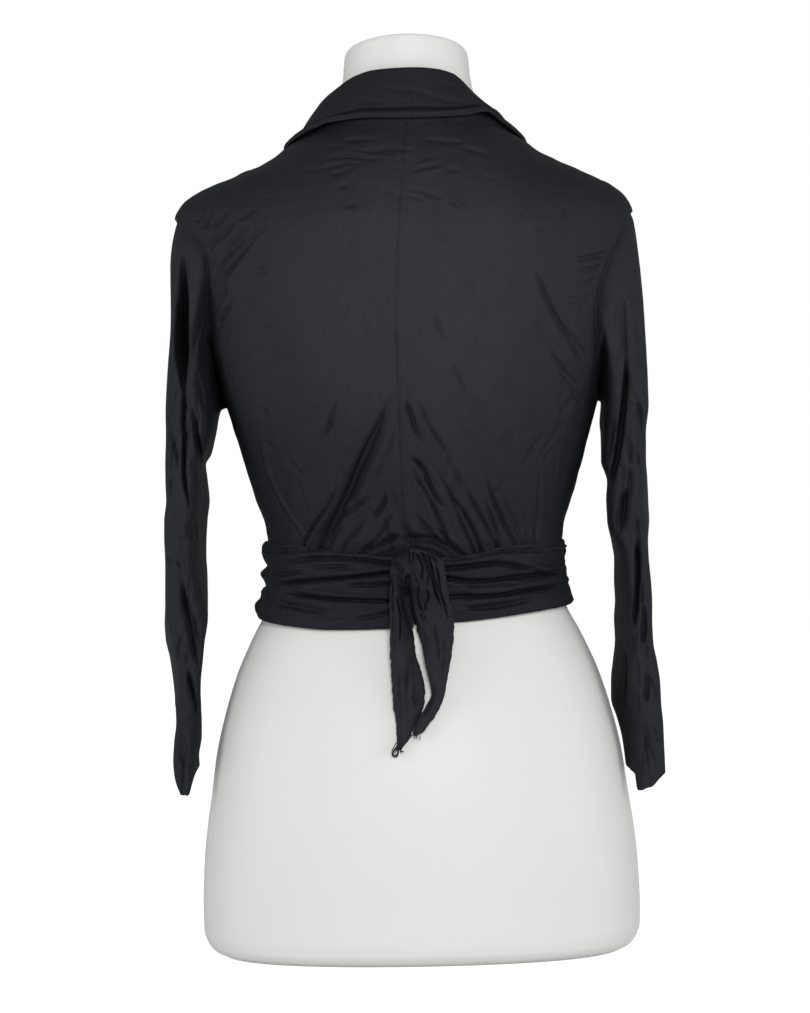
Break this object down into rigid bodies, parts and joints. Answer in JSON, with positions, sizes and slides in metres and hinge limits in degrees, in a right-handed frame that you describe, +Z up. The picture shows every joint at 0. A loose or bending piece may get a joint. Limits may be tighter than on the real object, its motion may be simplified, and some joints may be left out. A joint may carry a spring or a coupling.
{
  "type": "wrap bolero on a limbless dress form",
  "caption": "Short black wrap bolero with a shawl collar and slack three-quarter sleeves, tied at the centre back, worn by a white limbless dress form.",
  "frame": {"origin": "middle of the dress form's flat base, on the surface that it stands on", "axes": "+Z up through the neck; the front of the garment faces -Y, its back +Y; the wearer's left is +X"},
  "size_m": [0.4015, 0.2574, 0.7339],
  "materials": {
    "black_cloth": "matt fine jersey with a faint sheen and small crinkles",
    "white_form": "smooth satin white"
  },
  "bodies": {
    "root": {"back_left": "black_cloth", "back_right": "black_cloth", "front_left": "black_cloth", "front_right": "black_cloth", "sleeve_left": "black_cloth", "sleeve_right": "black_cloth", "collar_left": "black_cloth", "collar_right": "black_cloth", "tie_band_left": "black_cloth", "tie_band_right": "black_cloth", "knot": "black_cloth", "tail_left": "black_cloth", "tail_right": "black_cloth", "dress_form": "white_form"}
  },
  "joints": []
}
